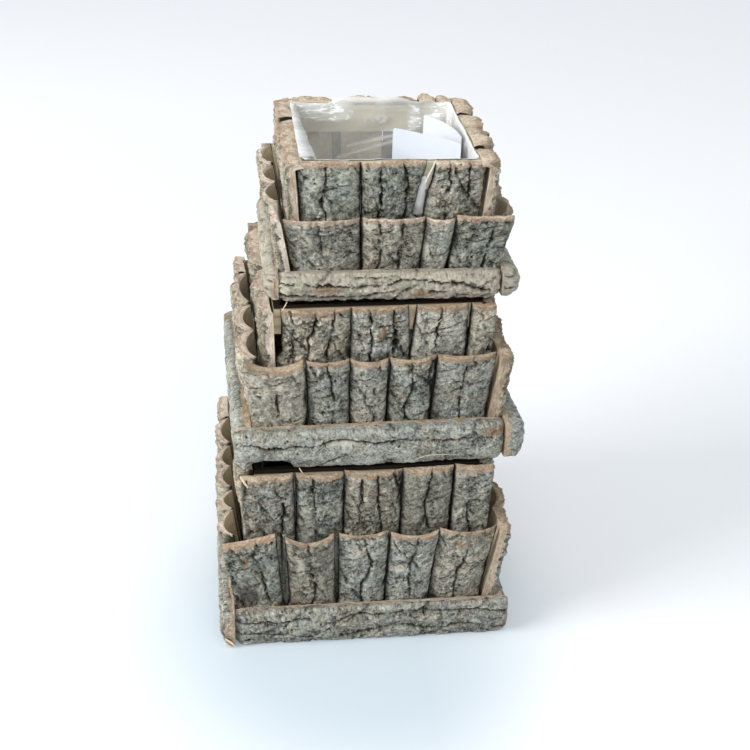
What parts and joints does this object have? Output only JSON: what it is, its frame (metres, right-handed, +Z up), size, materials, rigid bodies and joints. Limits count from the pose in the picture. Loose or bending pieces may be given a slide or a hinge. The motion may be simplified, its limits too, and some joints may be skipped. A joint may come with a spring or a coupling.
{
  "type": "stacked bark planters",
  "caption": "Tower of square planters in falling sizes, each walled with upright bark slabs in two tiers over a flat bark band, film lined, with loose paper cards.",
  "frame": {"origin": "middle of the large planter's underside, on the surface it stands on", "axes": "+Z up, -Y towards the front of the tower, +X to the right as seen from the front"},
  "size_m": [0.2337, 0.2474, 0.3738],
  "materials": {
    "slab_bark": "rough dry bark, grey and mottled, deeply fissured, with tan sawn edges",
    "band_bark": "rough bark laid flat, grey brown, with fissures along its length",
    "lath": "sawn softwood, bare",
    "board": "plain board, bare",
    "film": "clear thin film, creased, glossy",
    "card": "white coated paper, blank"
  },
  "bodies": {
    "large_planter": {"large_base_board": "board", "large_front_lath": "lath", "large_right_lath": "lath", "large_back_lath": "lath", "large_left_lath": "lath", "large_film_liner": "film", "large_inner_front_wall": "slab_bark", "large_outer_front_wall": "slab_bark", "large_front_band": "band_bark", "large_inner_right_wall": "slab_bark", "large_outer_right_wall": "slab_bark", "large_right_band": "band_bark", "large_inner_back_wall": "slab_bark", "large_outer_back_wall": "slab_bark", "large_back_band": "band_bark", "large_inner_left_wall": "slab_bark", "large_outer_left_wall": "slab_bark", "large_left_band": "band_bark"},
    "medium_planter": {"medium_base_board": "board", "medium_front_lath": "lath", "medium_right_lath": "lath", "medium_back_lath": "lath", "medium_left_lath": "lath", "medium_film_liner": "film", "medium_inner_front_wall": "slab_bark", "medium_outer_front_wall": "slab_bark", "medium_front_band": "band_bark", "medium_inner_right_wall": "slab_bark", "medium_outer_right_wall": "slab_bark", "medium_right_band": "band_bark", "medium_inner_back_wall": "slab_bark", "medium_outer_back_wall": "slab_bark", "medium_back_band": "band_bark", "medium_inner_left_wall": "slab_bark", "medium_outer_left_wall": "slab_bark", "medium_left_band": "band_bark"},
    "small_planter": {"small_base_board": "board", "small_front_lath": "lath", "small_right_lath": "lath", "small_back_lath": "lath", "small_left_lath": "lath", "small_film_liner": "film", "small_inner_front_wall": "slab_bark", "small_outer_front_wall": "slab_bark", "small_front_band": "band_bark", "small_inner_right_wall": "slab_bark", "small_outer_right_wall": "slab_bark", "small_right_band": "band_bark", "small_inner_back_wall": "slab_bark", "small_outer_back_wall": "slab_bark", "small_back_band": "band_bark", "small_inner_left_wall": "slab_bark", "small_outer_left_wall": "slab_bark", "small_left_band": "band_bark"},
    "loose_front_card": {"front_card": "card"},
    "loose_back_card": {"back_card": "card"}
  },
  "joints": [
    {"name": "lift_medium", "type": "slide", "parent": "large_planter", "child": "medium_planter", "axis": [0, 0, 1], "range_m": [0, 0.16]},
    {"name": "lift_small", "type": "slide", "parent": "medium_planter", "child": "small_planter", "axis": [0, 0, 1], "range_m": [0, 0.13]},
    {"name": "lift_front_card", "type": "slide", "parent": "small_planter", "child": "loose_front_card", "axis": [0, 0, 1], "range_m": [0, 0.11]},
    {"name": "lift_back_card", "type": "slide", "parent": "small_planter", "child": "loose_back_card", "axis": [0, 0, 1], "range_m": [0, 0.11]}
  ]
}
